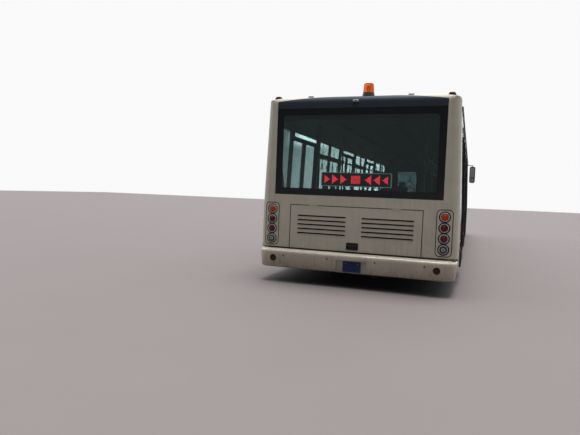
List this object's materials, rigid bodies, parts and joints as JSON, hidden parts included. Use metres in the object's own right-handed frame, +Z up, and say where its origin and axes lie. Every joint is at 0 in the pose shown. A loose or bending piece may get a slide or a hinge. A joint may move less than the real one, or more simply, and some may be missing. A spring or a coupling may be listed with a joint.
{
  "type": "airport passenger bus",
  "caption": "Wide low-floor apron bus with double doors on both sides, louvred rear flap, big rear window, round rear lamps and a roof beacon, on steered front and twin rear wheels.",
  "frame": {"origin": "on the road, under the middle of the bus's box", "axes": "+Z up, +Y forwards along the bus, +X to its right side"},
  "size_m": [3.46, 13.8, 3.117],
  "materials": {
    "underframe": "satin",
    "floor_covering": "matt, studded",
    "inner_panels": "satin",
    "body_paint": "gloss, lightly dusty",
    "roof_paint": "gloss",
    "black_gloss": "high gloss",
    "window_glass": "clear, tinted",
    "bumper_paint": "gloss",
    "door_frame": "satin",
    "red_lens": "gloss, ribbed",
    "clear_lens": "gloss",
    "amber_lens": "gloss, ribbed",
    "black_trim": "satin",
    "display_face": "satin",
    "dash_plastic": "grained",
    "seat_fabric": "woven",
    "seat_plastic": "satin, moulded",
    "rail_yellow": "powder coat",
    "ceiling_lining": "satin",
    "cast_metal": "as cast",
    "axle_black": "painted",
    "tyre_rubber": "matt",
    "rim_steel": "silver paint"
  },
  "bodies": {
    "bus_body": {"chassis_frame": "underframe", "floor": "floor_covering", "wheel_boxes": "inner_panels", "side_wall_left": "body_paint", "side_wall_right": "body_paint", "roof": "roof_paint", "rear_panel": "body_paint", "rear_header": "black_gloss", "rear_window": "window_glass", "rear_bumper": "bumper_paint", "front_panel": "body_paint", "front_bumper": "bumper_paint", "windscreen": "window_glass", "side_glass": "window_glass", "passenger_doors": "door_frame", "tail_lamps": "red_lens", "head_lamps": "clear_lens", "marker_lamps": "red_lens", "beacon": "amber_lens", "drip_rails": "black_trim", "mirrors": "black_trim", "wipers": "black_trim", "destination_display": "display_face", "cab_platform": "inner_panels", "dashboard": "dash_plastic", "driver_seat": "seat_fabric", "cab_partition": "inner_panels", "passenger_seats": "seat_plastic", "handrails": "rail_yellow", "ceiling_ducts": "ceiling_lining", "engine_block": "cast_metal", "fuel_tank": "underframe", "tow_sockets": "underframe", "front_axle": "axle_black", "rear_axle": "axle_black"},
    "flap": {"rear_flap": "body_paint"},
    "cab_door": {"driver_door": "body_paint", "driver_door_glass": "window_glass"},
    "knuckle_left": {"knuckle_left": "axle_black"},
    "knuckle_right": {"knuckle_right": "axle_black"},
    "wheel_front_left": {"tyre_front_left": "tyre_rubber", "rim_front_left": "rim_steel"},
    "wheel_front_right": {"tyre_front_right": "tyre_rubber", "rim_front_right": "rim_steel"},
    "wheels_rear_left": {"tyres_rear_left": "tyre_rubber", "rims_rear_left": "rim_steel"},
    "wheels_rear_right": {"tyres_rear_right": "tyre_rubber", "rims_rear_right": "rim_steel"}
  },
  "joints": [
    {"name": "flap_hinge", "type": "hinge", "parent": "bus_body", "child": "flap", "pos_m": [0, -6.8, 1.209], "axis": [-1, 0, 0], "range_deg": [0, 80]},
    {"name": "cab_door_hinge", "type": "hinge", "parent": "bus_body", "child": "cab_door", "pos_m": [-1.5, 6.055, 1.375], "axis": [0, 0, -1], "range_deg": [0, 75]},
    {"name": "steer_left", "type": "hinge", "parent": "bus_body", "child": "knuckle_left", "pos_m": [-1.03, 3.95, 0.478], "axis": [0, 0, 1], "range_deg": [-40, 40]},
    {"name": "steer_right", "type": "hinge", "parent": "bus_body", "child": "knuckle_right", "pos_m": [1.03, 3.95, 0.478], "axis": [0, 0, 1], "range_deg": [-40, 40]},
    {"name": "spin_front_left", "type": "hinge", "parent": "knuckle_left", "child": "wheel_front_left", "pos_m": [-1.236, 3.95, 0.478], "axis": [1, 0, 0], "continuous": true},
    {"name": "spin_front_right", "type": "hinge", "parent": "knuckle_right", "child": "wheel_front_right", "pos_m": [1.236, 3.95, 0.478], "axis": [1, 0, 0], "continuous": true},
    {"name": "spin_rear_left", "type": "hinge", "parent": "bus_body", "child": "wheels_rear_left", "pos_m": [-1.103, -3.15, 0.478], "axis": [1, 0, 0], "continuous": true},
    {"name": "spin_rear_right", "type": "hinge", "parent": "bus_body", "child": "wheels_rear_right", "pos_m": [1.103, -3.15, 0.478], "axis": [1, 0, 0], "continuous": true}
  ],
  "couplings": [
    {"joint": "steer_right", "follows": "steer_left", "ratio": 1}
  ]
}
